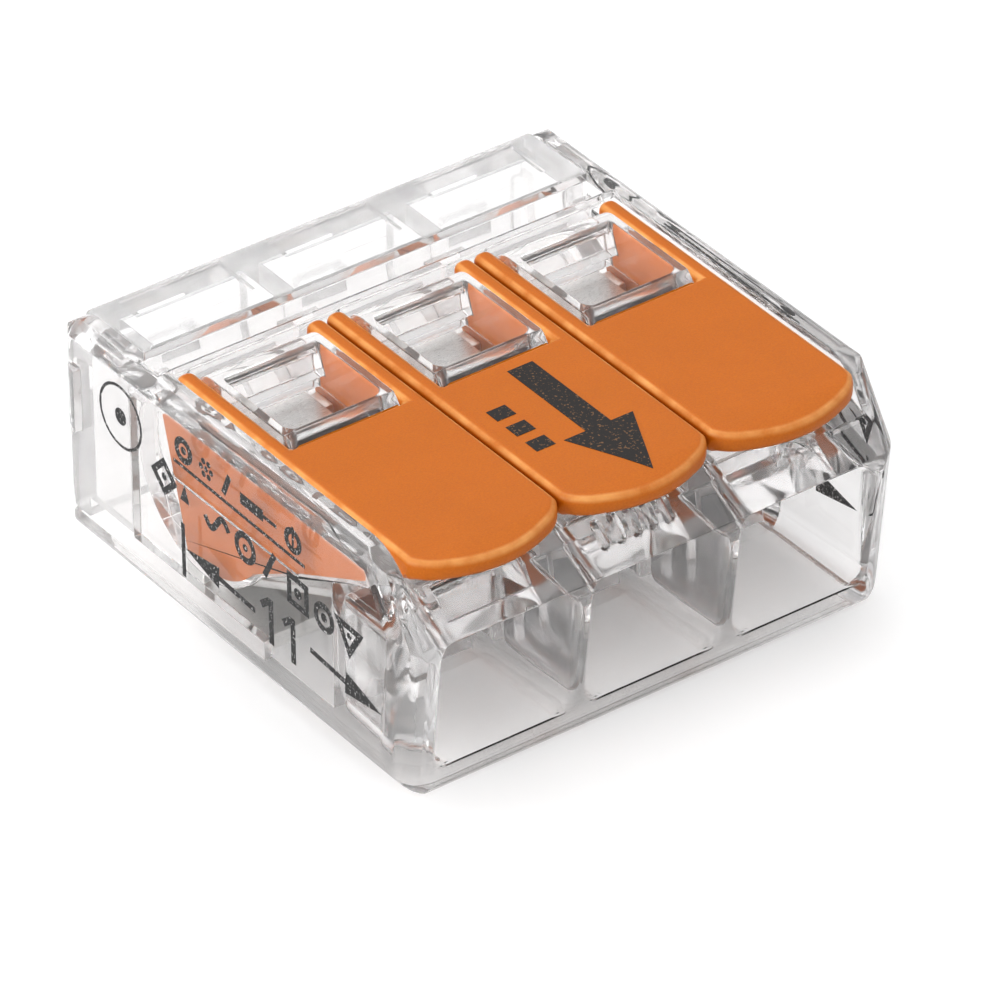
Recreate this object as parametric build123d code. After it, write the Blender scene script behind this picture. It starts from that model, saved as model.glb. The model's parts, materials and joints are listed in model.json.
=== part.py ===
"""Three-pole splicing connector with one lever per pole.

Frame: X runs across the poles, the wires enter from -Y, Z is up.
The origin is the centre of the underside. All lengths are millimetres.
"""
import os
from math import atan2, cos, degrees, hypot, radians, sin, tan

from build123d import *

# ---------------------------------------------------------------- driving dimensions
WIDTH = 18.7            # across the poles
DEPTH = 18.6            # wire-entry face to rear
HEIGHT = 8.3
POLES = 3
PITCH = 5.6             # pole to pole
POLE_X = [(i - (POLES - 1) / 2) * PITCH for i in range(POLES)]

FRONT = -DEPTH / 2
REAR = DEPTH / 2
SIDE_WALL = 0.9
FLOOR = 0.95            # thickness of the bottom
EDGE_ROUND = 0.7        # upper and rear side edges
BASE_ROUND = 1.35       # lower side edges
CORNER_ROUND = 1.3      # upright front corners
INNER_X = WIDTH / 2 - SIDE_WALL

# side profile of the case
KNEE_Z = 5.25           # the front face leans back above this height
LEAN = 56.5             # degrees from horizontal
BROW_ROUND = 2.0
KNEE_ROUND = 1.5
SILL_ROUND = 0.3
FOOT_BACK = 0.6         # how far the foot of the front face lies behind its knee
FOOT_LEAN = atan2(FOOT_BACK, KNEE_Z)
HEEL_ROUND = 0.9
REAR_TOP_ROUND = 0.9
PANEL_REAR = REAR - 0.15    # the two latches stand out behind it

# lever
LEVER_HALF = 2.75
LEVER_TOP = 8.2
LEVER_PLATE = 0.9
ARM = 0.65              # thickness of each cheek
PIVOT_Y, PIVOT_Z = 2.0, 5.75
HUB_R = 3.2
TIP_Y = -9.03
TIP_LOW = 7.45          # underside of the tip
TIP_DROOP = 8.0         # top of the handle, half a millimetre beyond the tip
DROOP_Y = -7.2          # where the droop starts
ARM_REAR = 4.4
ARM_REAR_ROUND = 0.3
DROOP_R = 14.0
WINDOW_FRONT = -0.95    # rear edge of the lever plate, ahead of the window
WINDOW_LIP = 0.35       # plate thickness left at that edge
SWING = 90.0            # degrees the lever opens
PLAY = 0.1              # lever to case

# lower edge of a cheek, from the lever's tip back to the hub
SKIRT_TIP = (-7.9, 7.4)
SKIRT_MID = (-6.2, 6.75)
SKIRT_ROOT = (-3.0, 5.2)
HUB_START = 218.0       # degrees, where the hub arc leaves the skirt
HUB_END = 288.0         # degrees, where the hub arc meets the rear edge
HEEL = (3.2, 3.6)
HEEL_REACH = 3.4        # clearance radius for the rear ends of the arms

# case details
SLOT_END = 4.5          # rear end of the slots for the lever arms
SEAM_Y = 5.8            # case meets the rear cover
DECK_Z = 7.0            # top of the case under the lever plates
ISLAND_HALF = 2.05      # window block between the lever arms
ISLAND_FRONT = -0.9
ISLAND_REAR = 4.2
ISLAND_R = 3.55         # the lever's plate edge passes over this radius
ISLAND_REAR_ROUND = 0.9
VALLEY_Z = 7.2          # dip between a window block and the top beam
RECESS_HALF = 1.75
RECESS_FLOOR = 6.65
RECESS_FRONT, RECESS_REAR = -0.35, 3.35
RECESS_STEP, RECESS_LIP_Z = 3.1, 7.05
RECESS_CORNER = 0.4
CHAMBER_TOP = 6.42
CHAMBER_HALF = 2.05
FUNNEL_END = -4.45      # rear face of the front block
MOUTH = (2.5, 0.95, 5.6, 0.8, 0.5)      # half width, bottom, top, lower and upper corner radius
THROAT = (2.15, 1.1, 5.52, 0.6, 0.35)
NOZZLE = (1.5, 1.6, 4.2, 0.45, 0.35)
THROAT_Y = -5.1
RIM_ROUND = 0.26        # rims of the mouths
LEDGE_FRONT_Z = 5.88
LEDGE_CORNER = (-8.35, 6.72)
DECK_FRONT = -7.7
BEAM_LOW = 7.5          # underside of the top beam behind the levers
GROOVE_MID, GROOVE_HALF, GROOVE_DEPTH = 5.27, 0.2, 0.08
GROOVE_FRONT, GROOVE_REAR = -3.1, 3.5
LEDGE_SLOPE = 41.5      # degrees, the ledge under the lever tips
LEDGE_MID = (-8.5, 6.59)
TRAY_W, TRAY_L, TRAY_DEPTH = 3.15, 1.2, 0.3
TRAY_SHIFT = -0.43      # the marks in the ledge sit left of the pole's middle
GROOVES = 5
GROOVE_W, GROOVE_PITCH = 0.36, 0.6
CHEVRON_DEPTH = 0.12
CATCH_LOW, CATCH_HIGH = 4.25, 6.45
CATCH_FRONT = 8.5
CATCH_ROUND = 0.7
LATCH_PLAY = 0.05

# rear cover
COVER_T = 0.8
COVER_ROUND = 0.5
COVER_LOW = 0.97
RIB_T, RIB_LOW = 0.7, 1.7
TEST_HALF, TEST_LOW, TEST_HIGH = 0.9, 5.1, 6.0    # test slots in the back wall
PANEL_HALF, PANEL_DEPTH = 1.9, 0.15               # sunk panels in the roof

# spring and current bar
STRIP_T = 0.3
SPRING_HALF = 1.4
BOW_Y, BOW_Z = -3.3, 5.3
BOW_R = 0.9             # centre line of the strip
LEG_SLOPE = 25.0        # degrees below horizontal at rest
LEG_LENGTH = 6.5
LEG_GAP = 0.04          # cut between the bow and the leg, which move apart
EAR_Y, EAR_Z = 0.6, 3.75
EAR_R = 0.24
EAR_REACH = 2.4
TAB_HALF = 0.35         # half length of the tab that carries the ear
HOOK_Y, HOOK_LOW, HOOK_ROUND = 3.72, 5.35, 0.3
LEG_LIFT = 24.0         # degrees the clamping leg lifts over the lever's full swing
BAR_T = 0.55
BAR_FRONT, BAR_REAR = -0.9, 3.5
POST_IN, POST_OUT = 1.6, 1.95
POST_FRONT = 2.6
WEB_TOP = 6.03
WEB_H = 0.6

BIG = 40.0


# ---------------------------------------------------------------- helpers
def prism_x(outline, x0, x1):
    """Solid from a closed (Y, Z) outline, between two X positions."""
    return Pos(x0, 0, 0) * extrude(Plane.YZ * make_face(outline), amount=x1 - x0)


def block(x0, x1, y0, y1, z0, z1):
    """Axis-aligned block from its limits."""
    centre = Pos((x0 + x1) / 2, (y0 + y1) / 2, (z0 + z1) / 2)
    return centre * Box(x1 - x0, y1 - y0, z1 - z0)


def rounded(points, radii):
    """Closed outline with a radius at each corner, none where the radius is 0."""
    return FilletPolyline(*points, radius=radii, close=True)


def about_pivot(radius, angle):
    """Point at an angle round the lever's pivot, in (Y, Z)."""
    turn = radians(angle)
    return (PIVOT_Y + radius * cos(turn), PIVOT_Z + radius * sin(turn))


def disc_x(y, z, radius, x0, x1):
    """Cylinder along X."""
    return Pos((x0 + x1) / 2, y, z) * Rot(0, 90, 0) * Cylinder(radius, x1 - x0)


def mirrored(shape):
    """A shape and its mirror image across the pole's middle plane."""
    return shape + mirror(shape, about=Plane.YZ)


def at_each_pole(shape):
    """One copy of a shape at every pole, joined."""
    copies = [Pos(x, 0, 0) * shape for x in POLE_X]
    return copies[0] + copies[1:]


# ---------------------------------------------------------------- case
def edge_waste(point, inward, radius):
    """What rounding the two side edges of one face of the case takes away."""
    edge, corner = WIDTH / 2, WIDTH / 2 + radius
    bulge = radius * (1 - sin(radians(45)))
    arc = ThreePointArc((edge - radius, 0), (edge - bulge, bulge), (edge, radius))
    outside = Polyline((edge, radius), (corner, radius), (corner, -radius), (edge - radius, -radius),
                       (edge - radius, 0))
    turn = radians(inward)
    plane = Plane(origin=(0, *point), x_dir=(1, 0, 0), z_dir=(0, -sin(turn), cos(turn)))
    return mirrored(extrude(plane * make_face(arc + outside), amount=BIG, both=True))


def case_envelope():
    """Outer form of the case: a leaning brow and foot at the front, round side edges."""
    brow_y = FRONT + (HEIGHT - KNEE_Z) / tan(radians(LEAN))
    foot, knee, roof = (FRONT + FOOT_BACK, 0), (FRONT, KNEE_Z), (brow_y, HEIGHT)
    corners = [foot, (PANEL_REAR, 0), (PANEL_REAR, HEIGHT), roof, knee]
    radii = [SILL_ROUND, HEEL_ROUND, REAR_TOP_ROUND, BROW_ROUND, KNEE_ROUND]
    body = prism_x(rounded(corners, radii), -WIDTH / 2, WIDTH / 2)
    body -= edge_waste(foot, 90, BASE_ROUND)
    body -= edge_waste(foot, degrees(FOOT_LEAN), CORNER_ROUND)
    body -= edge_waste(knee, LEAN - 90, EDGE_ROUND)
    body -= edge_waste(roof, -90, EDGE_ROUND)
    return body - edge_waste((PANEL_REAR, 0), 180, EDGE_ROUND)


def entry_section(size, y, lean=0.0, widen=0.0):
    """Section of a wire entry, upright or leaning: a rectangle with rounded corners."""
    half, low, high, low_r, high_r = size
    half, low, high = half + widen, low - widen, high + widen
    corners = [(-half, low), (half, low), (half, high), (-half, high)]
    plane = Plane(origin=(0, y, 0), x_dir=(1, 0, 0), z_dir=(0, -cos(lean), -sin(lean)))
    return plane * make_face(rounded(corners, [low_r + widen, low_r + widen, high_r + widen, high_r + widen]))


def wire_entry():
    """Hollow of one wire entry: a rounded rim, a gently tapering mouth, a funnel to the clamp."""
    face_y = FRONT + FOOT_BACK
    rim = []
    for angle in (0, 30, 60, 90):
        deep, wide = 1 - cos(radians(angle)), 1 - sin(radians(angle))
        rim.append(entry_section(MOUTH, face_y + RIM_ROUND * deep, FOOT_LEAN, RIM_ROUND * wide))
    throat = entry_section(THROAT, THROAT_Y)
    nozzle = entry_section(NOZZLE, FUNNEL_END + 0.05)
    return extrude(rim[0], amount=1) + loft(rim, ruled=True) + loft([rim[-1], throat]) + loft([throat, nozzle])


def front_block():
    """Solid front of the case with the ledge that runs under the lever tips."""
    low = FLOOR - 0.2
    profile = Polyline((FRONT, low), (FRONT, LEDGE_FRONT_Z), LEDGE_CORNER, (DECK_FRONT, DECK_Z),
                       (ISLAND_FRONT, DECK_Z), (ISLAND_FRONT, CHAMBER_TOP), (FUNNEL_END, CHAMBER_TOP),
                       (FUNNEL_END, low), close=True)
    return prism_x(profile, -INNER_X - 0.1, INNER_X + 0.1)


def ledge_pockets():
    """Shallow marks in the ledge under the lever tips, one kind for each pole."""
    lean = radians(LEDGE_SLOPE)
    slope = Plane(origin=(0, *LEDGE_MID), x_dir=(1, 0, 0), z_dir=(0, -sin(lean), cos(lean)))
    tray = extrude(RectangleRounded(TRAY_W, TRAY_L, 0.12), amount=TRAY_DEPTH, both=True)
    pockets = slope * Pos(POLE_X[0] + TRAY_SHIFT, 0.1, 0) * tray
    groove = extrude(SlotOverall(TRAY_L - 0.2, GROOVE_W, rotation=90), amount=TRAY_DEPTH, both=True)
    for step in range(GROOVES):
        across = (step - (GROOVES - 1) / 2) * GROOVE_PITCH
        pockets += slope * Pos(POLE_X[1] + TRAY_SHIFT + across, 0.1, 0) * groove
    half, rise, thick = 0.7, 0.65, 0.28
    chevron = Polyline((-half, 0), (0, rise), (half, 0), (half, thick), (0, rise + thick), (-half, thick),
                       close=True)
    mark = extrude(make_face(chevron), amount=CHEVRON_DEPTH, both=True)
    return pockets + slope * Pos(POLE_X[2], -0.35, 0) * mark


def island():
    """Raised window block between the two arms of a lever."""
    front_z = PIVOT_Z + (ISLAND_R ** 2 - (PIVOT_Y - ISLAND_FRONT) ** 2) ** 0.5
    crown_y = PIVOT_Y - (ISLAND_R ** 2 - (HEIGHT - PIVOT_Z) ** 2) ** 0.5
    lip_y, lip_z = ISLAND_REAR - ISLAND_REAR_ROUND, HEIGHT - ISLAND_REAR_ROUND
    beam_y = SLOT_END + 0.1
    front_arc = ThreePointArc((ISLAND_FRONT, front_z), about_pivot(ISLAND_R, 140), (crown_y, HEIGHT))
    rear_arc = RadiusArc((lip_y, HEIGHT), (ISLAND_REAR, lip_z), ISLAND_REAR_ROUND)
    outline = [
        Line((ISLAND_FRONT, CHAMBER_TOP), (ISLAND_FRONT, front_z)),
        front_arc,
        Line((crown_y, HEIGHT), (lip_y, HEIGHT)),
        rear_arc,
        Polyline((ISLAND_REAR, lip_z), (ISLAND_REAR, VALLEY_Z), (beam_y, VALLEY_Z),
                 (beam_y, CHAMBER_TOP), (ISLAND_FRONT, CHAMBER_TOP)),
    ]
    return prism_x(outline, -ISLAND_HALF, ISLAND_HALF)


def island_recess():
    """Pocket in the window block: deep floor, leaning front wall, curved lip at the rear."""
    above = HEIGHT + 0.2
    outline = Polyline((RECESS_FRONT, above), (RECESS_FRONT + 0.15, RECESS_FLOOR),
                       (RECESS_STEP, RECESS_FLOOR), (RECESS_STEP, RECESS_LIP_Z),
                       (RECESS_REAR - 0.6, RECESS_LIP_Z + 0.15), (RECESS_REAR - 0.1, above), close=True)
    pocket = prism_x(outline, -RECESS_HALF, RECESS_HALF)
    middle, length = (RECESS_REAR + RECESS_FRONT) / 2, RECESS_REAR - RECESS_FRONT
    plan = Pos(0, middle) * RectangleRounded(2 * RECESS_HALF, length, RECESS_CORNER)
    return pocket & extrude(plan, amount=BIG)


def lever_slot(x0, x1):
    """Hollow that one cheek, or two neighbouring cheeks, needs over the whole swing."""
    skirt_root = (SKIRT_ROOT[0], SKIRT_ROOT[1] - PLAY)
    skirt_mid = (SKIRT_MID[0] - PLAY, SKIRT_MID[1] - PLAY)
    skirt_tip = (SKIRT_TIP[0] - 2, SKIRT_TIP[1] + 0.35)
    low = about_pivot(HUB_R + PLAY, HUB_START)
    above = Polyline(low, skirt_root, skirt_mid, skirt_tip, (skirt_tip[0], BIG), (SLOT_END, BIG),
                     (SLOT_END, PIVOT_Z), (PIVOT_Y, PIVOT_Z), close=True)
    hub = disc_x(PIVOT_Y, PIVOT_Z, HUB_R + PLAY, x0, x1)
    hub -= block(x0 - 1, x1 + 1, PIVOT_Y, BIG, PIVOT_Z, BIG)
    heel = disc_x(PIVOT_Y, PIVOT_Z, HEEL_REACH, x0, x1)
    return prism_x(above, x0, x1) + hub + heel


def partition(x0, x1):
    """Wall between two poles; its hollows are cut afterwards."""
    return block(x0, x1, FUNNEL_END - 0.1, SEAM_Y, FLOOR - 0.1, DECK_Z)


def housing():
    """Clear case: side walls, bottom, wire entries, window blocks and hub cradles."""
    envelope = case_envelope()
    inner = block(-INNER_X, INNER_X, FRONT - 1, REAR + 1, FLOOR, BIG)
    between = [POLE_X[0] - PITCH / 2, *[x + PITCH / 2 for x in POLE_X]]
    wall_half = PITCH / 2 - CHAMBER_HALF
    slot_half = PITCH / 2 - ISLAND_HALF

    inside = front_block() + block(-INNER_X - 0.1, INNER_X + 0.1, SLOT_END, SEAM_Y, BEAM_LOW, HEIGHT)
    for x in between:
        inside += partition(x - wall_half, x + wall_half)
    inside += at_each_pole(island())
    inside -= block(-INNER_X, INNER_X, BAR_FRONT - 0.3, SEAM_Y + 0.1, FLOOR, FLOOR + BAR_T + 0.15)
    inside -= at_each_pole(island_recess())
    inside -= ledge_pockets()
    for x in between:
        inside -= lever_slot(max(x - slot_half, -INNER_X), min(x + slot_half, INNER_X))
    inside -= at_each_pole(wire_entry())

    body = (envelope - inner) + (inside & envelope)
    return body - side_grooves() - latch_notches()


def side_grooves():
    """Fine horizontal groove inside each side wall, beside the lever hubs."""
    mouth = INNER_X - 0.1
    notch = Polyline((mouth, GROOVE_MID - GROOVE_HALF), (INNER_X + GROOVE_DEPTH, GROOVE_MID),
                     (mouth, GROOVE_MID + GROOVE_HALF), close=True)
    face = Plane.XZ.offset(-GROOVE_FRONT) * make_face(notch)
    return mirrored(extrude(face, amount=GROOVE_FRONT - GROOVE_REAR))


def latch_notches():
    """Openings in the rear edges of the side walls where the cover latches."""
    low, high = CATCH_LOW - LATCH_PLAY, CATCH_HIGH + LATCH_PLAY
    return mirrored(block(INNER_X - 0.1, WIDTH / 2 + 1, CATCH_FRONT - LATCH_PLAY, REAR + 1, low, high))


# ---------------------------------------------------------------- rear cover
def rear_cover():
    """Clear cover that closes the rear: roof, back wall, hold-down ribs and two latches."""
    side = INNER_X - LATCH_PLAY
    front, back, top = SEAM_Y + 0.05, PANEL_REAR - 0.05, HEIGHT - 0.03
    corners = [(front, top), (back, top), (back, COVER_LOW), (back - COVER_T, COVER_LOW),
               (back - COVER_T, top - COVER_T), (front, top - COVER_T)]
    shell = prism_x(rounded(corners, [0.12, COVER_ROUND, 0.2, 0.1, 0.3, 0.1]), -side, side)
    rib = block(-RIB_T / 2, RIB_T / 2, front + 0.05, back - COVER_T / 2, RIB_LOW, top - COVER_T / 2)
    for x in [POLE_X[0] + PITCH / 2, POLE_X[1] + PITCH / 2, side - RIB_T / 2, RIB_T / 2 - side]:
        shell += Pos(x, 0, 0) * rib
    for x in POLE_X:
        shell -= block(x - TEST_HALF, x + TEST_HALF, back - 1, back + 1, TEST_LOW, TEST_HIGH)
        shell -= block(x - PANEL_HALF, x + PANEL_HALF, front + 0.85, back - COVER_ROUND,
                       top - PANEL_DEPTH, BIG)
    return shell + mirrored(catch(side))


def catch(side):
    """Latch that fills the opening in a side wall and stands out at its rear corner."""
    outer = WIDTH / 2 - LATCH_PLAY
    plan = rounded([(side - RIB_T, CATCH_FRONT), (outer, CATCH_FRONT), (outer, REAR), (side - RIB_T, REAR)],
                   [0, 0.1, CATCH_ROUND, 0])
    return Pos(0, 0, CATCH_LOW) * extrude(make_face(plan), amount=CATCH_HIGH - CATCH_LOW)


# ---------------------------------------------------------------- metal parts
def current_bar():
    """Tin-plated copper bar under all poles, with a portal frame at each pole."""
    reach = POLE_X[-1] + POST_OUT
    bar = block(-reach, reach, BAR_FRONT, BAR_REAR, FLOOR + 0.03, FLOOR + 0.03 + BAR_T)
    post = mirrored(block(POST_IN, POST_OUT, POST_FRONT, BAR_REAR, FLOOR + 0.1, WEB_TOP))
    web = block(-POST_OUT, POST_OUT, POST_FRONT, BAR_REAR, WEB_TOP - WEB_H, WEB_TOP)
    return bar + at_each_pole(post + web)


def on_bow(angle):
    """Point of the strip's centre line round the spring's bow, in (Y, Z)."""
    turn = radians(angle)
    return (BOW_Y + BOW_R * cos(turn), BOW_Z + BOW_R * sin(turn))


def strip(path):
    """Spring strip of constant thickness swept along a (Y, Z) path, with flat ends."""
    line = Plane.YZ * path
    section = Plane(origin=line @ 0, x_dir=(1, 0, 0), z_dir=line % 0) * Rectangle(2 * SPRING_HALF, STRIP_T)
    return sweep(section, path=line)


def spring_anchor():
    """Fixed part of a clamping spring: hook over the frame, contact leg and bow."""
    top_z = BOW_Z + BOW_R
    bow_end = 270 - LEG_SLOPE
    path = Wire([
        Line((HOOK_Y, HOOK_LOW), (HOOK_Y, top_z - HOOK_ROUND)),
        RadiusArc((HOOK_Y, top_z - HOOK_ROUND), (HOOK_Y - HOOK_ROUND, top_z), -HOOK_ROUND),
        Line((HOOK_Y - HOOK_ROUND, top_z), (BOW_Y, top_z)),
        ThreePointArc((BOW_Y, top_z), on_bow((90 + bow_end) / 2), on_bow(bow_end)),
    ])
    return strip(path)


def down_leg(distance):
    """Point on the clamping leg's centre line, from the bow's end, in (Y, Z)."""
    start, slope = on_bow(270 - LEG_SLOPE), radians(LEG_SLOPE)
    return (start[0] + distance * cos(slope), start[1] - distance * sin(slope))


def spring_leg():
    """Moving part of a clamping spring: sloping leg with an ear on each side for the lever."""
    leg = strip(Wire([Line(down_leg(LEG_GAP), down_leg(LEG_LENGTH))]))
    slope = radians(LEG_SLOPE)
    start = down_leg(0)
    foot = down_leg((EAR_Y - start[0]) * cos(slope) - (EAR_Z - start[1]) * sin(slope))
    tab_line = [(foot[0] - TAB_HALF, foot[1]), (foot[0] + TAB_HALF, foot[1] - 0.1),
                (EAR_Y + TAB_HALF, EAR_Z + EAR_R), (EAR_Y - TAB_HALF, EAR_Z + EAR_R)]
    tab = prism_x(Polyline(*tab_line, close=True), SPRING_HALF - STRIP_T, SPRING_HALF)
    ear = disc_x(EAR_Y, EAR_Z, EAR_R, SPRING_HALF - STRIP_T, EAR_REACH)
    return leg + mirrored(tab + ear)


# ---------------------------------------------------------------- lever
def cheek_outline():
    """Side view of the lever: handle, skirt and round hub."""
    hub_low = about_pivot(HUB_R, (HUB_START + HUB_END) / 2)
    hub_a, hub_b = about_pivot(HUB_R, HUB_START), about_pivot(HUB_R, HUB_END)
    beyond = TIP_Y - 0.5
    rear_top = (ARM_REAR - ARM_REAR_ROUND, LEVER_TOP)
    rear_low = (ARM_REAR - 0.03, LEVER_TOP - ARM_REAR_ROUND)
    return [
        Line((DROOP_Y, LEVER_TOP), rear_top),
        RadiusArc(rear_top, rear_low, ARM_REAR_ROUND),
        Polyline(rear_low, HEEL, hub_b),
        ThreePointArc(hub_b, hub_low, hub_a),
        Polyline(hub_a, SKIRT_ROOT, SKIRT_MID, SKIRT_TIP, (beyond, TIP_LOW), (beyond, TIP_DROOP)),
        RadiusArc((beyond, TIP_DROOP), (DROOP_Y, LEVER_TOP), DROOP_R),
    ]


def lever_plan():
    """Top view of the lever: straight sides, round corners and a gently curved tip."""
    side, corner, front = (LEVER_HALF, -7.8), (2.45, -8.22), (1.8, -8.62)
    right = [
        ThreePointArc((0, TIP_Y), (front[0] / 2, (TIP_Y * 3 + front[1]) / 4), front),
        ThreePointArc(front, corner, side),
        Polyline(side, (LEVER_HALF, BIG / 2), (0, BIG / 2)),
    ]
    half = make_face(right + [Line((0, BIG / 2), (0, TIP_Y))])
    return mirrored(extrude(half, amount=BIG))


def ear_spots(steps):
    """Where the spring's ear lies on the cheek, in (Y, Z), as the lever turns through its swing."""
    reach = hypot(EAR_Y - BOW_Y, EAR_Z - BOW_Z)
    rest = atan2(EAR_Z - BOW_Z, EAR_Y - BOW_Y)
    spots = []
    for step in range(-1, steps + 1):
        swing = radians(SWING * step / steps)
        lift = rest + radians(LEG_LIFT * step / steps)
        y = BOW_Y + reach * cos(lift) - PIVOT_Y
        z = BOW_Z + reach * sin(lift) - PIVOT_Z
        spots.append((PIVOT_Y + y * cos(swing) - z * sin(swing), PIVOT_Z + y * sin(swing) + z * cos(swing)))
    return spots


def cam_groove():
    """Groove in the inner face of a cheek that carries the spring's ear as the lever turns."""
    inner = LEVER_HALF - ARM - 0.1
    deep = EAR_REACH + PLAY / 2 - inner
    spots = ear_spots(8)
    cells = []
    for spot, following in zip(spots, spots[1:]):
        ends = Pos(*spot) * Circle(EAR_R + PLAY) + Pos(*following) * Circle(EAR_R + PLAY)
        cells.append(Pos(inner, 0, 0) * extrude(Plane.YZ * make_hull(ends.edges()), amount=deep))
    return mirrored(cells[0] + cells[1:])


def lever():
    """Handle plate with two cheeks; each cheek ends in a hub with a cam groove."""
    under = LEVER_TOP - LEVER_PLATE
    inner = LEVER_HALF - ARM
    body = prism_x(cheek_outline(), -LEVER_HALF, LEVER_HALF) & lever_plan()
    tip_rear = TIP_Y + 1.2
    hollow = Polyline((tip_rear, 0), (tip_rear, under), (WINDOW_FRONT - 0.95, under),
                      (WINDOW_FRONT, LEVER_TOP - WINDOW_LIP), (WINDOW_FRONT, BIG), (BIG / 2, BIG),
                      (BIG / 2, 0), close=True)
    body -= prism_x(hollow, -inner, inner)
    return body - cam_groove()


# ---------------------------------------------------------------- files
def main():
    os.makedirs("parts", exist_ok=True)
    nodes = {"housing": housing(), "rear_cover": rear_cover(), "current_bar": current_bar()}
    anchor, leg, handle = spring_anchor(), spring_leg(), lever()
    for number, x in enumerate(POLE_X, start=1):
        nodes[f"spring_{number}_anchor"] = Pos(x, 0, 0) * anchor
        nodes[f"spring_{number}_leg"] = Pos(x, 0, 0) * leg
        nodes[f"lever_{number}"] = Pos(x, 0, 0) * handle
    for name, shape in nodes.items():
        export_step(shape, f"parts/{name}.step")


main()
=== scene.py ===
"""Looks of the lever wire connector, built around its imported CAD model. Lengths are metres."""
import json
import math

import bmesh
import bpy
from mathutils import Matrix, Vector


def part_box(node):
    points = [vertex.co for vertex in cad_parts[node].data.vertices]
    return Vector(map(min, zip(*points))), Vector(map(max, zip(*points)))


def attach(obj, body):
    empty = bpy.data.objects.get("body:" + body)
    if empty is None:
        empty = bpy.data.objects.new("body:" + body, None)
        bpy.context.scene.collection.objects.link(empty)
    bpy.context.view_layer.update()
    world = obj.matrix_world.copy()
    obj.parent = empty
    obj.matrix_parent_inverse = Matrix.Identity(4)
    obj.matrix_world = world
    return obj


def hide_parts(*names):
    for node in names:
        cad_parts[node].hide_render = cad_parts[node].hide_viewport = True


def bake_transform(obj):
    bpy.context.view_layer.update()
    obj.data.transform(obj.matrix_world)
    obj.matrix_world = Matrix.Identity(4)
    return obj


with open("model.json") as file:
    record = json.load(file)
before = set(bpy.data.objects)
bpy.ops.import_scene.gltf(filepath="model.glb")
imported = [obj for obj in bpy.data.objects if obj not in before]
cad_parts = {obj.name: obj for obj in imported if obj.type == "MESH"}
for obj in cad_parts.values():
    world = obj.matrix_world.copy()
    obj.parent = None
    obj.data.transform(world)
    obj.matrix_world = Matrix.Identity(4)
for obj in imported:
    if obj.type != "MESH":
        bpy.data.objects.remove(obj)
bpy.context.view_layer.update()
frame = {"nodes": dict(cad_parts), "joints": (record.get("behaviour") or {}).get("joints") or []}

MM = 0.001

# ---------------------------------------------------------------- places, from the frame
JOINTS = {joint["name"]: joint for joint in frame["joints"]}
POLES = (1, 2, 3)
POLE_X = {n: JOINTS[f"lever_{n}_swing"]["pos_m"][0] for n in POLES}
CASE_LOW, CASE_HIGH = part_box("housing")
LEVER_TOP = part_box("lever_2")[1].z
FROST_TOP = 1.25 * MM                       # the entries' floors and the underside are frosted
SKIN = 0.1 * MM                             # outer skin of the side walls, left clearer than the rest
SHADE_INNER = (0.965, 0.962, 0.960)         # share of a lamp's light that a clear face lets through
SHADE_OUTER = (0.50, 0.50, 0.50)          # the same at the side walls' outer skin


# ---------------------------------------------------------------- materials
def new_material(name):
    """An empty node material with its Principled shader: (material, tree, shader)."""
    material = bpy.data.materials.new(name)
    material.use_nodes = True
    tree = material.node_tree
    return material, tree, tree.nodes["Principled BSDF"]


def add(tree, kind, **values):
    """A node with some of its inputs or properties set by name."""
    node = tree.nodes.new(kind)
    for key, value in values.items():
        socket = node.inputs.get(key.replace("_", " "))
        if socket is not None:
            socket.default_value = value
        else:
            setattr(node, key, value)
    return node


def noise(tree, scale, detail=3.0, stretch=(1, 1, 1), rough=0.5):
    """Noise in the object's own coordinates; scale is in features per millimetre."""
    place = add(tree, "ShaderNodeTexCoord")
    stretched = add(tree, "ShaderNodeMapping", Scale=stretch)
    pattern = add(tree, "ShaderNodeTexNoise", Scale=scale / MM, Detail=detail, Roughness=rough)
    tree.links.new(place.outputs["Object"], stretched.inputs["Vector"])
    tree.links.new(stretched.outputs["Vector"], pattern.inputs["Vector"])
    return pattern.outputs["Fac"]


def spread(tree, source, low, high, from_low=0.3, from_high=0.7):
    """A pattern's middle range mapped to low..high."""
    ranged = add(tree, "ShaderNodeMapRange", From_Min=from_low, From_Max=from_high, To_Min=low,
                 To_Max=high)
    tree.links.new(source, ranged.inputs["Value"])
    return ranged.outputs["Result"]


def two_tone(tree, factor, first, second):
    """Colour between two colours by a factor."""
    mix = add(tree, "ShaderNodeMix", data_type="RGBA")
    tree.links.new(factor, mix.inputs["Factor"])
    mix.inputs["A"].default_value = (*first, 1)
    mix.inputs["B"].default_value = (*second, 1)
    return mix.outputs["Result"]


def level_and_low(tree, level):
    """1 on level faces under a height in metres, 0 on upright faces and above it."""
    place = add(tree, "ShaderNodeTexCoord")
    masks = []
    for output, start, end, first, last in (("Object", level, level + 0.1 * MM, 1.0, 0.0),
                                            ("Normal", 0.96, 0.99, 0.0, 1.0)):
        split = add(tree, "ShaderNodeSeparateXYZ")
        size = add(tree, "ShaderNodeMath", operation="ABSOLUTE")
        step = add(tree, "ShaderNodeMapRange", From_Min=start, From_Max=end, To_Min=first, To_Max=last)
        tree.links.new(place.outputs[output], split.inputs["Vector"])
        tree.links.new(split.outputs["Z"], size.inputs[0])
        tree.links.new(size.outputs["Value"], step.inputs["Value"])
        masks.append(step.outputs["Result"])
    return times(tree, *masks)


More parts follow.
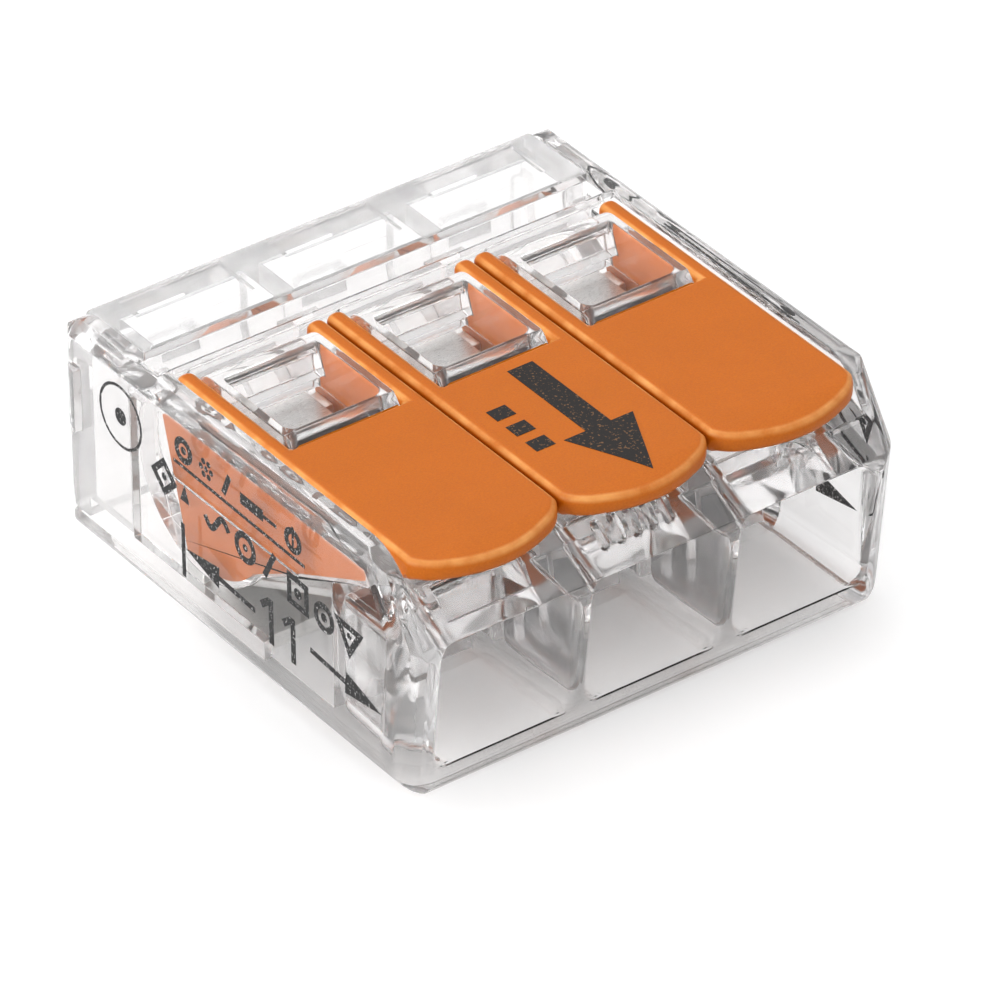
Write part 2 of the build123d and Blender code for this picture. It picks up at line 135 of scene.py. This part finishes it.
def inner_side(tree):
    """0 on the outer skin of the side walls, 1 everywhere inside it."""
    place = add(tree, "ShaderNodeTexCoord")
    split = add(tree, "ShaderNodeSeparateXYZ")
    size = add(tree, "ShaderNodeMath", operation="ABSOLUTE")
    tree.links.new(place.outputs["Object"], split.inputs["Vector"])
    tree.links.new(split.outputs["X"], size.inputs[0])
    return spread(tree, size.outputs["Value"], 1, 0, CASE_HIGH.x - SKIN, CASE_HIGH.x - SKIN / 2)


def rims(tree):
    """1 on the rounded rims between level and upright faces, 0 on both: the mask of the painted rim
    highlight.
    """
    place = add(tree, "ShaderNodeTexCoord")
    split = add(tree, "ShaderNodeSeparateXYZ")
    tree.links.new(place.outputs["Normal"], split.inputs["Vector"])
    rising = spread(tree, split.outputs["Z"], 0, 1, 0.25, 0.6)
    falling = spread(tree, split.outputs["Z"], 1, 0, 0.86, 0.965)
    return times(tree, rising, falling)


def times(tree, first, second):
    """Product of two values."""
    node = add(tree, "ShaderNodeMath", operation="MULTIPLY")
    tree.links.new(first, node.inputs[0])
    tree.links.new(second, node.inputs[1])
    return node.outputs["Value"]


def blended(tree, factor, first, second):
    """Value between two values by a factor."""
    mix = add(tree, "ShaderNodeMix", data_type="FLOAT")
    for source, socket in ((factor, "Factor"), (first, "A"), (second, "B")):
        tree.links.new(source, mix.inputs[socket])
    return mix.outputs["Result"]


def shader_mix(tree, factor, first, second):
    """Mix node of two shader nodes by a factor."""
    mix = add(tree, "ShaderNodeMixShader")
    tree.links.new(factor, mix.inputs["Fac"])
    tree.links.new(first.outputs[0], mix.inputs[1])
    tree.links.new(second.outputs[0], mix.inputs[2])
    return mix


def bump(tree, shader, layers):
    """Bump from (pattern, height in metres) layers, one over another."""
    last = None
    for pattern, height in layers:
        node = add(tree, "ShaderNodeBump", Strength=1.0, Distance=height)
        tree.links.new(pattern, node.inputs["Height"])
        if last is not None:
            tree.links.new(last.outputs["Normal"], node.inputs["Normal"])
        last = node
    tree.links.new(last.outputs["Normal"], shader.inputs["Normal"])


def clear_plastic(name, tint, wave, haze, gloss_range):
    """Clear, slightly milky polycarbonate, frosted near its underside, that lets lamplight through."""
    material, tree, shader = new_material(name)
    shader.inputs["Base Color"].default_value = (*tint, 1)
    shader.inputs["IOR"].default_value = 1.585
    shader.inputs["Transmission Weight"].default_value = 1.0
    shader.inputs["Specular Tint"].default_value = (0.2, 0.2, 0.2, 1)
    low = level_and_low(tree, FROST_TOP)
    gloss = spread(tree, noise(tree, 0.5), *gloss_range)
    tree.links.new(blended(tree, low, gloss, spread(tree, noise(tree, 7.0), 0.14, 0.28)),
                   shader.inputs["Roughness"])
    speck = times(tree, low, noise(tree, 11.0, detail=4.0, rough=0.7))
    bump(tree, shader, [(noise(tree, 0.35, detail=1.0), wave), (noise(tree, 3.0), wave * 0.02),
                        (speck, 0.007 * MM)])
    inside = inner_side(tree)
    milk = add(tree, "ShaderNodeBsdfDiffuse", Color=(0.94, 0.94, 0.94, 1))
    hazy = shader_mix(tree, times(tree, inside, spread(tree, noise(tree, 0.8), *haze)), shader, milk)
    through = add(tree, "ShaderNodeBsdfTransparent")
    tree.links.new(two_tone(tree, inside, SHADE_OUTER, SHADE_INNER), through.inputs["Color"])
    path = add(tree, "ShaderNodeLightPath")
    mix = shader_mix(tree, path.outputs["Is Shadow Ray"], hazy, through)
    tree.links.new(mix.outputs["Shader"], tree.nodes["Material Output"].inputs["Surface"])
    return material


def orange_plastic():
    """Satin orange polyamide with a fine eroded grain, and a painted highlight, a paler orange, along
    its rounded rims.
    """
    material, tree, shader = new_material("lever_orange")
    grain = noise(tree, 16.0, detail=4.0, rough=0.7)
    cloud = noise(tree, 0.6, detail=3.0)
    base = two_tone(tree, spread(tree, grain, 0, 1), (0.50, 0.112, 0.001), (0.60, 0.148, 0.003))
    drift = add(tree, "ShaderNodeMix", data_type="RGBA", blend_type="MULTIPLY", Factor=1.0)
    tree.links.new(base, drift.inputs["A"])
    shade = two_tone(tree, spread(tree, cloud, 0, 1), (0.95, 0.95, 0.95), (1, 1, 1))
    tree.links.new(shade, drift.inputs["B"])
    # Painted highlight: a paler orange on the rounded rims, broken up by noise.
    rim_highlight_mix = add(tree, "ShaderNodeMix", data_type="RGBA")
    painted_rim_highlight = times(tree, rims(tree), spread(tree, noise(tree, 1.2, detail=5.0), 0.15, 0.8))
    tree.links.new(painted_rim_highlight, rim_highlight_mix.inputs["Factor"])
    tree.links.new(drift.outputs["Result"], rim_highlight_mix.inputs["A"])
    rim_highlight_mix.inputs["B"].default_value = (0.86, 0.42, 0.13, 1)
    tree.links.new(rim_highlight_mix.outputs["Result"], shader.inputs["Base Color"])
    tree.links.new(spread(tree, grain, 0.34, 0.52), shader.inputs["Roughness"])
    shader.inputs["IOR"].default_value = 1.50
    shader.inputs["Specular IOR Level"].default_value = 0.28
    shader.inputs["Subsurface Weight"].default_value = 0.12
    shader.inputs["Subsurface Radius"].default_value = (0.6 * MM, 0.2 * MM, 0.06 * MM)
    shader.inputs["Subsurface Scale"].default_value = 1.0
    bump(tree, shader, [(grain, 0.006 * MM), (cloud, 0.01 * MM)])
    return material


def metal(name, dark, light, stretch, rough):
    """Rolled strip metal with lines along its length."""
    material, tree, shader = new_material(name)
    lines = noise(tree, 6.0, detail=4.0, stretch=stretch, rough=0.65)
    tree.links.new(two_tone(tree, spread(tree, lines, 0, 1), dark, light), shader.inputs["Base Color"])
    shader.inputs["Metallic"].default_value = 1.0
    tree.links.new(spread(tree, lines, rough - 0.06, rough + 0.08), shader.inputs["Roughness"])
    bump(tree, shader, [(lines, 0.004 * MM), (noise(tree, 1.0), 0.006 * MM)])
    return material


def ink(name, colour, speck):
    """Pad-printed ink with tiny pinholes of rubbed-off pigment."""
    material, tree, shader = new_material(name)
    fleck = spread(tree, noise(tree, 11.0, detail=2.0, rough=0.6), 0, 1, 0.60, 0.66)
    tree.links.new(two_tone(tree, fleck, colour, speck), shader.inputs["Base Color"])
    tree.links.new(spread(tree, fleck, 0.45, 0.7, 0, 1), shader.inputs["Roughness"])
    shader.inputs["Specular IOR Level"].default_value = 0.1
    bump(tree, shader, [(fleck, 0.004 * MM)])
    return material


# ---------------------------------------------------------------- mesh helpers
def piece_from(name, mesh, material, body):
    """A finished mesh as a named piece that rides on a body."""
    piece = bpy.data.objects.new(name, mesh)
    bpy.context.scene.collection.objects.link(piece)
    mesh.materials.clear()
    mesh.materials.append(material)
    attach(piece, body)
    return piece


def refined(node, name, material, body, width, segments, chosen=None):
    """A CAD node's mesh with its sharp edges rounded, which stands for the node."""
    work = bmesh.new()
    work.from_mesh(frame["nodes"][node].data)
    bmesh.ops.remove_doubles(work, verts=work.verts, dist=0.001 * MM)
    bmesh.ops.dissolve_limit(work, angle_limit=math.radians(0.4), verts=work.verts, edges=work.edges)
    sharp = [e for e in work.edges if len(e.link_faces) == 2 and e.calc_face_angle(0) > math.radians(32)
             and (chosen is None or chosen(e))]
    bmesh.ops.bevel(work, geom=sharp, offset=width, offset_type="OFFSET", segments=segments,
                    profile=0.5, affect="EDGES", clamp_overlap=False)
    bmesh.ops.recalc_face_normals(work, faces=work.faces)
    for face in work.faces:
        face.smooth = True
    for edge in work.edges:
        edge.smooth = len(edge.link_faces) != 2 or edge.calc_face_angle(0) < math.radians(40)
    mesh = bpy.data.meshes.new(name)
    work.to_mesh(mesh)
    work.free()
    piece = piece_from(name, mesh, material, body)
    weighted = piece.modifiers.new("even_shading", "WEIGHTED_NORMAL")
    weighted.keep_sharp = True
    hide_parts(node)
    return piece


# ---------------------------------------------------------------- case, cover, bar
def build_case():
    """Case and rear cover; the cover is the milkier of the two."""
    clear = clear_plastic("case_clear", (0.97, 0.963, 0.962), 0.012 * MM, (0.015, 0.035), (0.02, 0.06))
    cover = clear_plastic("cover_clear", (0.972, 0.966, 0.965), 0.012 * MM, (0.12, 0.20), (0.08, 0.14))
    refined("housing", "case_shell", clear, "case", 0.05 * MM, 2)
    refined("rear_cover", "cover_shell", cover, "case", 0.05 * MM, 2)


def build_metal():
    """Current bar with its portal frames."""
    tin = metal("tinned_copper", (0.70, 0.70, 0.69), (0.88, 0.88, 0.86), (1, 6, 6), 0.32)
    refined("current_bar", "bar_with_frames", tin, "case", 0.06 * MM, 2)


# ---------------------------------------------------------------- levers
RIM_LOW = 6.5 * MM      # edges above this height get the wide rounding


def build_levers():
    """Three levers with rounded rims round their handles."""
    orange = orange_plastic()
    for n in POLES:
        refined(f"lever_{n}", f"handle_{n}", orange, f"handle_{n}", 0.27 * MM, 4,
                chosen=lambda edge: min(v.co.z for v in edge.verts) > RIM_LOW)


# ---------------------------------------------------------------- clamping springs
STRIP_T, SPRING_HALF = 0.3 * MM, 1.4 * MM
BOW_Y, BOW_Z, BOW_R = -3.3 * MM, 5.3 * MM, 0.9 * MM
LEG_SLOPE, LEG_LENGTH = math.radians(25), 6.5 * MM
HOOK_Y, HOOK_LOW, HOOK_R = 3.72 * MM, 5.35 * MM, 0.3 * MM
EAR_Y, EAR_Z, EAR_R, EAR_REACH = 0.6 * MM, 3.75 * MM, 0.24 * MM, 2.4 * MM


def arc(centre, radius, first, last, steps):
    """Points of an arc in (Y, Z), angles in degrees."""
    turns = [math.radians(first + (last - first) * i / steps) for i in range(steps + 1)]
    return [Vector((centre[0] + radius * math.cos(t), centre[1] + radius * math.sin(t))) for t in turns]


def run(start, end, steps):
    """Points from start to end, both included, in (Y, Z)."""
    return [Vector(start).lerp(Vector(end), i / steps) for i in range(steps + 1)]


def spring_line():
    """Centre line of a clamping spring in (Y, Z): hook, contact leg, bow and clamping leg."""
    top = BOW_Z + BOW_R
    corner = (HOOK_Y - HOOK_R, top - HOOK_R)
    bow = arc((BOW_Y, BOW_Z), BOW_R, 90, 270 - math.degrees(LEG_SLOPE), 40)
    foot = bow[-1] + LEG_LENGTH * Vector((math.cos(LEG_SLOPE), -math.sin(LEG_SLOPE)))
    return (run((HOOK_Y, HOOK_LOW), (HOOK_Y, corner[1]), 4) + arc(corner, HOOK_R, 0, 90, 8)[1:]
            + run((corner[0], top), (BOW_Y, top), 24)[1:] + bow[1:] + run(bow[-1], foot, 24)[1:])


def strip_section(half, thick, edge):
    """Rounded edges of a strip: (across, through) points, counter-clockwise."""
    points = []
    for side, start in ((1, -90), (-1, 90)):
        for through, turn in ((-side, start), (side, start + 90)):
            centre = (side * (half - edge), through * (thick / 2 - edge))
            points += [Vector(p) for p in arc(centre, edge, turn, turn + 90, 3)]
    return points


def swept_strip(line, half, thick, edge):
    """Closed mesh of a flat strip along a (Y, Z) line."""
    work = bmesh.new()
    section = strip_section(half, thick, edge)
    rings = []
    for i, point in enumerate(line):
        along = (line[min(i + 1, len(line) - 1)] - line[max(i - 1, 0)]).normalized()
        out = Vector((-along.y, along.x))
        rings.append([work.verts.new((p.x, point.x + out.x * p.y, point.y + out.y * p.y))
                      for p in section])
    count = len(section)
    for ring, following in zip(rings, rings[1:]):
        for i in range(count):
            j = (i + 1) % count
            work.faces.new((ring[i], ring[j], following[j], following[i]))
    work.faces.new(rings[0][::-1])
    work.faces.new(rings[-1])
    bmesh.ops.recalc_face_normals(work, faces=work.faces)
    return mesh_of(work, "strip")


def upright_prism(outline, low, high):
    """Closed mesh of a (Y, Z) outline between two X positions."""
    work = bmesh.new()
    face = work.faces.new([work.verts.new((low, p[0], p[1])) for p in outline])
    moved = bmesh.ops.extrude_face_region(work, geom=[face])["geom"]
    bmesh.ops.translate(work, verts=[v for v in moved if isinstance(v, bmesh.types.BMVert)],
                        vec=(high - low, 0, 0))
    bmesh.ops.recalc_face_normals(work, faces=work.faces)
    return mesh_of(work, "prism")


def mesh_of(work, name):
    """A mesh from the working mesh, which is freed."""
    mesh = bpy.data.meshes.new(name)
    work.to_mesh(mesh)
    work.free()
    return mesh


def united(meshes):
    """One closed mesh from several that overlap."""
    things = [bpy.data.objects.new("part_of_union", mesh) for mesh in meshes]
    for thing in things:
        bpy.context.scene.collection.objects.link(thing)
    for other in things[1:]:
        joint = things[0].modifiers.new("union", "BOOLEAN")
        joint.operation, joint.solver, joint.object = "UNION", "EXACT", other
    bpy.context.view_layer.update()
    evaluated = things[0].evaluated_get(bpy.context.evaluated_depsgraph_get())
    whole = bpy.data.meshes.new_from_object(evaluated)
    for thing in things:
        bpy.data.objects.remove(thing)
    return whole


def spring_mesh():
    """A clamping spring about x = 0, with its two ears."""
    edge = 0.06 * MM
    line = spring_line()
    meshes = [swept_strip(line, SPRING_HALF, STRIP_T, edge)]
    start = line[-25]
    foot = start + (EAR_Y - start.x) / math.cos(LEG_SLOPE) * (line[-1] - start).normalized()
    tab = [(foot.x - 0.32 * MM, foot.y + 0.1 * MM), (foot.x + 0.32 * MM, foot.y - 0.2 * MM),
           (EAR_Y + EAR_R, EAR_Z), *arc((EAR_Y, EAR_Z), EAR_R, 0, 180, 12)[1:-1],
           (EAR_Y - EAR_R, EAR_Z)]
    ear = arc((EAR_Y, EAR_Z), EAR_R * 0.96, 0, 345, 23)
    inset = 0.01 * MM
    for side in (1, -1):
        meshes.append(upright_prism(tab, side * (SPRING_HALF - STRIP_T), side * (SPRING_HALF - inset)))
        meshes.append(upright_prism(ear, side * (SPRING_HALF - STRIP_T * 0.9),
                                    side * (EAR_REACH - inset)))
    return united(meshes)


def build_springs():
    """One clamping spring for each pole, in place of its fixed part and its leg."""
    steel = metal("spring_steel", (0.58, 0.58, 0.58), (0.78, 0.78, 0.76), (1, 8, 8), 0.30)
    shape = spring_mesh()
    for n in POLES:
        mesh = shape.copy()
        mesh.transform(Matrix.Translation((POLE_X[n], 0, 0)))
        mesh.materials.clear()
        mesh.materials.append(steel)
        for face in mesh.polygons:
            face.use_smooth = True
        mesh.set_sharp_from_angle(angle=math.radians(50))
        spring = bpy.data.objects.new(f"clamp_spring_{n}", mesh)
        bpy.context.scene.collection.objects.link(spring)
        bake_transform(spring)
        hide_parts(f"spring_{n}_anchor", f"spring_{n}_leg")


# ---------------------------------------------------------------- printed marks
INK = 0.012 * MM        # thickness of a print
STROKE = 0.23           # line width, in millimetres
SKIN_OVER_INK = 0.003 * MM
DROOP_Y, DROOP_R = -7.2 * MM, 14 * MM       # where the lever's tip starts to droop, and its radius


def stroke(points, width=STROKE):
    """A bent line as quads with mitred corners, in (u, v) millimetres."""
    points = [Vector(p) for p in points]
    left, right = [], []
    for i, point in enumerate(points):
        before = (point - points[i - 1]).normalized() if i else None
        after = (points[i + 1] - point).normalized() if i + 1 < len(points) else None
        along = ((before or after) + (after or before)).normalized()
        out = Vector((-along.y, along.x))
        stretch = 1 / max(0.4, along.dot(before or after))
        left.append(point + out * width / 2 * stretch)
        right.append(point - out * width / 2 * stretch)
    return [(left[i], right[i], right[i + 1], left[i + 1]) for i in range(len(points) - 1)]


def outline(corners, width=STROKE):
    """A closed bent line, drawn from the middle of its last side."""
    start = (Vector(corners[-1]) + Vector(corners[0])) / 2
    return stroke([start, *corners, start], width)


def ring(u, v, radius, width=STROKE, steps=40):
    """A circle line as quads."""
    quads = []
    for i in range(steps):
        turns = [2 * math.pi * (i + k) / steps for k in (0, 1)]
        ends = [Vector((math.cos(t), math.sin(t))) for t in turns]
        inner, outer = radius - width / 2, radius + width / 2
        centre = Vector((u, v))
        quads.append((centre + ends[0] * inner, centre + ends[0] * outer,
                      centre + ends[1] * outer, centre + ends[1] * inner))
    return quads


def dot(u, v, radius, steps=20):
    """A filled circle."""
    turns = [2 * math.pi * i / steps for i in range(steps)]
    return [[Vector((u + radius * math.cos(t), v + radius * math.sin(t))) for t in turns]]


def wave(u, v, length, height, width=STROKE):
    """One period of a sine line."""
    steps = 16
    return stroke([(u + length * (i / steps - 0.5), v + height * math.sin(2 * math.pi * i / steps))
                   for i in range(steps + 1)], width)


def arrow(tail, tip, head, half, width=STROKE):
    """A line with a filled head at its tip."""
    tail, tip = Vector(tail), Vector(tip)
    along = (tip - tail).normalized()
    out = Vector((-along.y, along.x))
    neck = tip - along * head
    return [stroke([tail, neck + along * 0.05], width), [[tip, neck + out * half, neck - out * half]]]


def printed(name, body, shapes, place, material, cuts=(), back=None):
    """Shapes as one thin closed print; place(u, v, depth) gives a point on or over the surface."""
    work = bmesh.new()
    for level, polygons in enumerate(shapes):
        depth = INK * (1 + 0.05 * (level % 4))
        flat = bmesh.new()
        for polygon in polygons:
            flat.faces.new([flat.verts.new((p[0] * MM, p[1] * MM, 0)) for p in polygon])
        bmesh.ops.remove_doubles(flat, verts=flat.verts, dist=1e-4 * MM)
        for cut in cuts:
            bmesh.ops.bisect_plane(flat, geom=[*flat.verts, *flat.edges, *flat.faces],
                                   plane_co=(0, cut, 0), plane_no=(0, 1, 0))
        lifted = bmesh.ops.extrude_face_region(flat, geom=list(flat.faces))["geom"]
        for vert in lifted:
            if isinstance(vert, bmesh.types.BMVert):
                vert.co.z = depth
        for vert in flat.verts:
            vert.co = place(*vert.co)
        bmesh.ops.recalc_face_normals(flat, faces=flat.faces)
        part = mesh_of(flat, "print")
        work.from_mesh(part)
        bpy.data.meshes.remove(part)
    piece = piece_from(name, mesh_of(work, name), material, body)
    if back is not None:
        piece.data.materials.append(back)
        inward = (place(0, 0, INK) - place(0, 0, 0)).normalized()
        for face in piece.data.polygons:
            face.material_index = int(face.normal.dot(inward) > 0.5)
    return piece


def digit_one(u, v, height, side):
    """A plain 1, read from outside the wall on that side (-1 left, 1 right)."""
    top = v + height - 0.1
    return stroke([(u - side * 0.52, top - 0.32), (u - side * 0.12, top), (u, top), (u, v)], 0.25)


def strip_gauge(side):
    """How much insulation to strip: a stop line, two arrows and the length in millimetres."""
    shapes = [stroke([(2.6, 4.1), (2.6, 2.1)], 0.2)]
    shapes += arrow((-1.2, 2.98), (2.5, 3.22), 1.8, 0.4, 0.2)
    shapes += arrow((-4.1, 3.2), (-7.8, 2.9), 1.9, 0.41, 0.2)
    return shapes + [digit_one(-2.05, 2.2, 1.65, side), digit_one(-3.2, 2.15, 1.65, side)]


def wire_symbols():
    """Pictograms over and under a thin rule: kinds of wire, a stripped wire and a wave."""
    shapes = [stroke([(3.0, 6.25), (-3.9, 6.12)], 0.13)]
    shapes += [ring(2.45, 6.85, 0.36), dot(2.45, 6.85, 0.14)]
    strands = [k * math.pi / 3 for k in range(6)]
    shapes += [dot(1.25 + 0.27 * math.cos(turn), 6.83 + 0.27 * math.sin(turn), 0.11) for turn in strands]
    shapes += [dot(1.25, 6.83, 0.11)]
    shapes += [stroke([(0.35, 6.45), (0.0, 7.25)])]
    shapes += [stroke([(-0.55, 6.8), (-1.75, 6.78)], 0.42), stroke([(-1.7, 6.78), (-2.45, 6.77)], 0.14)]
    shapes += [ring(-3.3, 6.74, 0.34), stroke([(-3.3, 7.25), (-3.3, 6.3)], 0.11)]
    shapes += [outline([(3.0, 5.3), (3.55, 5.85), (4.1, 5.3), (3.55, 4.75)]), dot(3.55, 5.3, 0.13)]
    shapes += [[[Vector((2.7, 4.95)), Vector((2.2, 4.95)), Vector((2.45, 5.6))]]]
    shapes += [wave(0.75, 5.1, 1.25, 0.3), ring(-0.75, 5.05, 0.45), dot(-0.75, 5.05, 0.13)]
    shapes += [stroke([(-1.75, 4.6), (-2.3, 5.65)])]
    shapes += [outline([(-3.05, 5.4), (-3.05, 4.45), (-3.95, 4.42), (-3.95, 5.35)])]
    shapes += [dot(-3.5, 4.9, 0.2)]
    shapes += [ring(-4.85, 4.8, 0.42), dot(-4.85, 4.8, 0.16)]
    shapes += [outline([(-5.6, 5.2), (-6.15, 4.25), (-6.7, 5.15)]), dot(-6.15, 4.87, 0.12)]
    return shapes


def build_marks():
    """Prints on both side walls and on the middle lever."""
    black = ink("print_black", (0.012, 0.012, 0.013), (0.55, 0.54, 0.53))
    grey = ink("print_grey", (0.030, 0.027, 0.026), (0.20, 0.11, 0.06))
    pale = ink("print_underlay", (0.60, 0.59, 0.58), (0.75, 0.74, 0.73))
    for name, side in (("marks_left", -1), ("marks_right", 1)):
        wall = (CASE_LOW if side < 0 else CASE_HIGH).x
        shapes = strip_gauge(side) + wire_symbols()
        shapes += [ring(5.85, 6.25, 1.1, 0.11), dot(5.85, 6.25, 0.3)]
        printed(name, "case", shapes, lambda u, v, d: Vector((wall - side * (SKIN_OVER_INK + d), u, v)),
                black, back=pale if side < 0 else None)

    def on_lever(u, v, depth):
        droop = max(0.0, DROOP_Y - v) ** 2 / (2 * DROOP_R)
        return Vector((u, v, LEVER_TOP - droop + depth))

    cuts = [DROOP_Y - k * 0.2 * MM for k in range(8)]
    printed("marks_lever", "handle_2", lever_mark(), on_lever, grey, cuts)


def lever_mark():
    """A bold arrow towards the wire entry, with three bars beside it."""
    shapes = [stroke([(0.35, -1.6 - 0.5 * k) for k in range(9)], 0.95)]
    shapes += [[[Vector((0.35, -8.35)), Vector((-0.95, -5.6)), Vector((1.65, -5.6))]]]
    shapes += [stroke([(-1.6, -3.0 - k), (-1.6, -3.6 - k)], 0.7) for k in range(3)]
    return shapes


# ---------------------------------------------------------------- stage, light, camera
def build_stage():
    """Pale floor with a faint mottle, and painted shade: reflected rays see it as a dimmer grey."""
    mesh = bpy.data.meshes.new("floor")
    reach = 1.2
    corners = [(-reach, -reach, 0), (reach, -reach, 0), (reach, reach, 0), (-reach, reach, 0)]
    mesh.from_pydata(corners, [], [(0, 1, 2, 3)])
    floor = bpy.data.objects.new("floor", mesh)
    bpy.context.scene.collection.objects.link(floor)
    material, tree, shader = new_material("pale_floor")
    tree.links.new(two_tone(tree, noise(tree, 0.02), (0.90, 0.90, 0.90), (0.92, 0.92, 0.92)),
                   shader.inputs["Base Color"])
    shader.inputs["Roughness"].default_value = 0.8
    shader.inputs["Specular IOR Level"].default_value = 0.0
    shader.inputs["Emission Color"].default_value = (1, 1, 1, 1)
    shader.inputs["Emission Strength"].default_value = 0.12
    # Painted shade in reflections: any reflected ray sees the floor as a dimmer grey than the camera
    # does.
    dim = add(tree, "ShaderNodeBsdfDiffuse", Color=(0.65, 0.65, 0.65, 1))
    path = add(tree, "ShaderNodeLightPath")
    mix = shader_mix(tree, path.outputs["Is Reflection Ray"], shader, dim)
    tree.links.new(mix.outputs["Shader"], tree.nodes["Material Output"].inputs["Surface"])
    mesh.materials.append(material)


def soft_light(name, place, aim, size, power, colour=(1, 1, 1)):
    """Square soft box that looks at a point."""
    data = bpy.data.lights.new(name, "AREA")
    data.shape, data.size, data.energy, data.color = "SQUARE", size, power, colour
    light = bpy.data.objects.new(name, data)
    light.location = place
    light.rotation_mode = "QUATERNION"
    light.rotation_quaternion = (Vector(aim) - Vector(place)).to_track_quat("-Z", "Y")
    bpy.context.scene.collection.objects.link(light)


def build_light():
    """Pale studio surroundings and three soft boxes."""
    world = bpy.data.worlds.new("studio")
    bpy.context.scene.world = world
    world.use_nodes = True
    tree = world.node_tree
    sky = tree.nodes["Background"]
    place = add(tree, "ShaderNodeTexCoord")
    split = add(tree, "ShaderNodeSeparateXYZ")
    ramp = add(tree, "ShaderNodeValToRGB")
    low, high = ramp.color_ramp.elements
    low.position, low.color = 0.50, (0.62, 0.62, 0.63, 1)
    high.position, high.color = 0.90, (1, 1, 1, 1)
    middle = ramp.color_ramp.elements.new(0.62)
    middle.color = (0.76, 0.76, 0.77, 1)
    height = add(tree, "ShaderNodeMapRange", From_Min=-1.0, From_Max=1.0)
    tree.links.new(place.outputs["Generated"], split.inputs["Vector"])
    tree.links.new(split.outputs["Z"], height.inputs["Value"])
    tree.links.new(height.outputs["Result"], ramp.inputs["Fac"])
    tree.links.new(ramp.outputs["Color"], sky.inputs["Color"])
    sky.inputs["Strength"].default_value = 0.85
    aim = (0, 0, 4 * MM)
    soft_light("overhead", (-0.02, 0.10, 0.30), aim, 0.20, 0.26)
    soft_light("side_fill", (0.17, -0.06, 0.26), aim, 0.10, 0.07)
    soft_light("left_fill", (-0.26, -0.02, 0.10), aim, 0.16, 0.42)


def build_camera():
    """Long lens, looking down on the wire entries from the left."""
    azimuth, elevation, roll = map(math.radians, (-35.9766, 34.8229, -0.494))
    distance, target = 283.753 * MM, Vector((-0.76045, -1.79210, 4.0)) * MM
    back = Vector((math.sin(azimuth) * math.cos(elevation), -math.cos(azimuth) * math.cos(elevation),
                   math.sin(elevation)))
    level = Vector((0, 0, 1)).cross(back).normalized()
    upright = back.cross(level)
    right = math.cos(roll) * level + math.sin(roll) * upright
    above = math.cos(roll) * upright - math.sin(roll) * level
    data = bpy.data.cameras.new("camera")
    data.sensor_width, data.lens = 36.0, 336.71
    data.clip_start, data.clip_end = 0.01, 10.0
    camera = bpy.data.objects.new("camera", data)
    camera.matrix_world = Matrix.Translation(target + back * distance) @ Matrix(
        (right, above, back)).transposed().to_4x4()
    bpy.context.scene.collection.objects.link(camera)
    bpy.context.scene.camera = camera


def set_light_paths():
    """Enough bounces for light to find its way through many clear walls."""
    cycles = bpy.context.scene.cycles
    cycles.max_bounces = cycles.transmission_bounces = 32
    cycles.glossy_bounces = 16
    cycles.transparent_max_bounces = 48


build_stage()
build_light()
build_camera()
build_case()
build_metal()
build_levers()
build_springs()
build_marks()
set_light_paths()
bpy.context.scene.view_settings.view_transform = "Standard"
